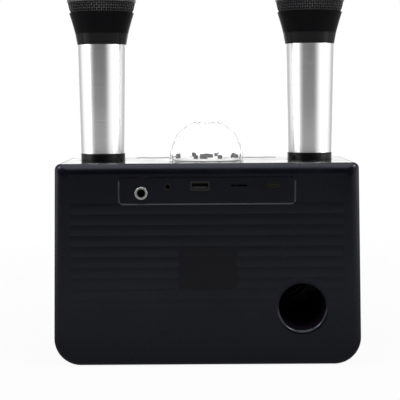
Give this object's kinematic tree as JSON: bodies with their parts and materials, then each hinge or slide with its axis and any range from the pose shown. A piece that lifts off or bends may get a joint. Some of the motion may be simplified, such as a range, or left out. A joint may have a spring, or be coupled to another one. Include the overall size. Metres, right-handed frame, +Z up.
{
  "type": "karaoke machine",
  "caption": "Boxy karaoke speaker with a ribbed back, connector recess and bass port, a clear turning light dome, and wireless microphones that stand in wells in its top.",
  "frame": {"origin": "on the floor, under the middle of the cabinet", "axes": "+Z up; the grille faces -Y and the connectors face +Y; +X is to the right seen from the grille"},
  "size_m": [0.2312, 0.112, 0.3042],
  "materials": {
    "shell_black": "fine satin texture",
    "deck_black": "gloss",
    "grille_black": "satin paint on perforated sheet",
    "foot_rubber": "matt",
    "screw_steel": "zinc plated",
    "label_film": "satin film, bare",
    "board_green": "solder mask",
    "board_white": "white solder mask",
    "sink_aluminium": "extruded",
    "battery_sleeve": "shrink sleeve",
    "socket_black": "moulded",
    "socket_steel": "plated",
    "nut_chrome": "bright plated",
    "lamp_clear": "clear lens",
    "dome_clear": "clear, faceted",
    "hub_black": "satin",
    "motor_steel": "plated can",
    "button_black": "semi gloss",
    "basket_black": "black stove enamel",
    "magnet_ferrite": "ferrite and steel",
    "cone_paper": "pressed pulp",
    "barrel_silver": "satin silver",
    "mic_black": "semi gloss",
    "mic_wire": "black lacquered wire",
    "capsule_brass": "turned"
  },
  "bodies": {
    "cabinet": {"front_shell": "shell_black", "rear_shell": "shell_black", "top_deck": "deck_black", "front_grille": "grille_black", "rubber_feet": "foot_rubber", "case_screws": "screw_steel", "inner_screws": "screw_steel", "rating_label": "label_film", "bass_port_tube": "shell_black", "main_board": "board_green", "main_board_parts": "sink_aluminium", "io_board": "board_green", "battery_pack": "battery_sleeve", "guitar_jack_socket": "socket_black", "guitar_jack_nut": "nut_chrome", "aux_jack": "socket_black", "usb_socket": "socket_steel", "card_slot": "socket_black", "charge_socket": "socket_steel", "charge_light": "lamp_clear", "control_board": "board_green", "push_switches": "socket_black", "disco_light_cup": "hub_black", "disco_light_board": "board_white", "disco_lamps": "lamp_clear", "disco_motor": "motor_steel", "speaker_left_basket": "basket_black", "speaker_left_magnet": "magnet_ferrite", "speaker_left_surround": "foot_rubber", "mic_well_left": "shell_black", "speaker_right_basket": "basket_black", "speaker_right_magnet": "magnet_ferrite", "speaker_right_surround": "foot_rubber", "mic_well_right": "shell_black"},
    "mic_left": {"mic_left_barrel": "barrel_silver", "mic_left_tail": "mic_black", "mic_left_neck": "mic_black", "mic_left_grille": "mic_wire", "mic_left_capsule": "capsule_brass", "mic_left_board": "board_green", "mic_left_cell": "battery_sleeve"},
    "mic_left_power": {"mic_left_button": "button_black"},
    "speaker_left_mover": {"speaker_left_cone": "cone_paper"},
    "mic_right": {"mic_right_barrel": "barrel_silver", "mic_right_tail": "mic_black", "mic_right_neck": "mic_black", "mic_right_grille": "mic_wire", "mic_right_capsule": "capsule_brass", "mic_right_board": "board_green", "mic_right_cell": "battery_sleeve"},
    "mic_right_power": {"mic_right_button": "button_black"},
    "speaker_right_mover": {"speaker_right_cone": "cone_paper"},
    "dome": {"disco_dome": "dome_clear", "disco_hub": "hub_black"},
    "deck_button_mode": {"button_mode": "button_black"},
    "deck_button_previous": {"button_previous": "button_black"},
    "deck_button_play": {"button_play": "button_black"},
    "deck_button_next": {"button_next": "button_black"},
    "deck_button_light": {"button_light": "button_black"}
  },
  "joints": [
    {"name": "mic_left_lift", "type": "slide", "parent": "cabinet", "child": "mic_left", "axis": [0, 0, 1], "range_m": [0, 0.075]},
    {"name": "mic_left_power_press", "type": "slide", "parent": "mic_left", "child": "mic_left_power", "axis": [0, 1, 0], "range_m": [0, 0.0008], "stiffness_N_per_m": 800, "springref_m": -0.0004},
    {"name": "speaker_left_throw", "type": "slide", "parent": "cabinet", "child": "speaker_left_mover", "axis": [0, 1, 0], "range_m": [-0.0012, 0.0012], "stiffness_N_per_m": 2000, "deforming": ["speaker_left_surround"]},
    {"name": "mic_right_lift", "type": "slide", "parent": "cabinet", "child": "mic_right", "axis": [0, 0, 1], "range_m": [0, 0.075]},
    {"name": "mic_right_power_press", "type": "slide", "parent": "mic_right", "child": "mic_right_power", "axis": [0, 1, 0], "range_m": [0, 0.0008], "stiffness_N_per_m": 800, "springref_m": -0.0004},
    {"name": "speaker_right_throw", "type": "slide", "parent": "cabinet", "child": "speaker_right_mover", "axis": [0, 1, 0], "range_m": [-0.0012, 0.0012], "stiffness_N_per_m": 2000, "deforming": ["speaker_right_surround"]},
    {"name": "dome_spin", "type": "hinge", "parent": "cabinet", "child": "dome", "pos_m": [0, 0.00615, 0.153], "axis": [0, 0, 1], "continuous": true},
    {"name": "mode_press", "type": "slide", "parent": "cabinet", "child": "deck_button_mode", "axis": [0, 0, -1], "range_m": [0, 0.0008], "stiffness_N_per_m": 800, "springref_m": -0.0004},
    {"name": "previous_press", "type": "slide", "parent": "cabinet", "child": "deck_button_previous", "axis": [0, 0, -1], "range_m": [0, 0.0008], "stiffness_N_per_m": 800, "springref_m": -0.0004},
    {"name": "play_press", "type": "slide", "parent": "cabinet", "child": "deck_button_play", "axis": [0, 0, -1], "range_m": [0, 0.0008], "stiffness_N_per_m": 800, "springref_m": -0.0004},
    {"name": "next_press", "type": "slide", "parent": "cabinet", "child": "deck_button_next", "axis": [0, 0, -1], "range_m": [0, 0.0008], "stiffness_N_per_m": 800, "springref_m": -0.0004},
    {"name": "light_press", "type": "slide", "parent": "cabinet", "child": "deck_button_light", "axis": [0, 0, -1], "range_m": [0, 0.0008], "stiffness_N_per_m": 800, "springref_m": -0.0004}
  ]
}
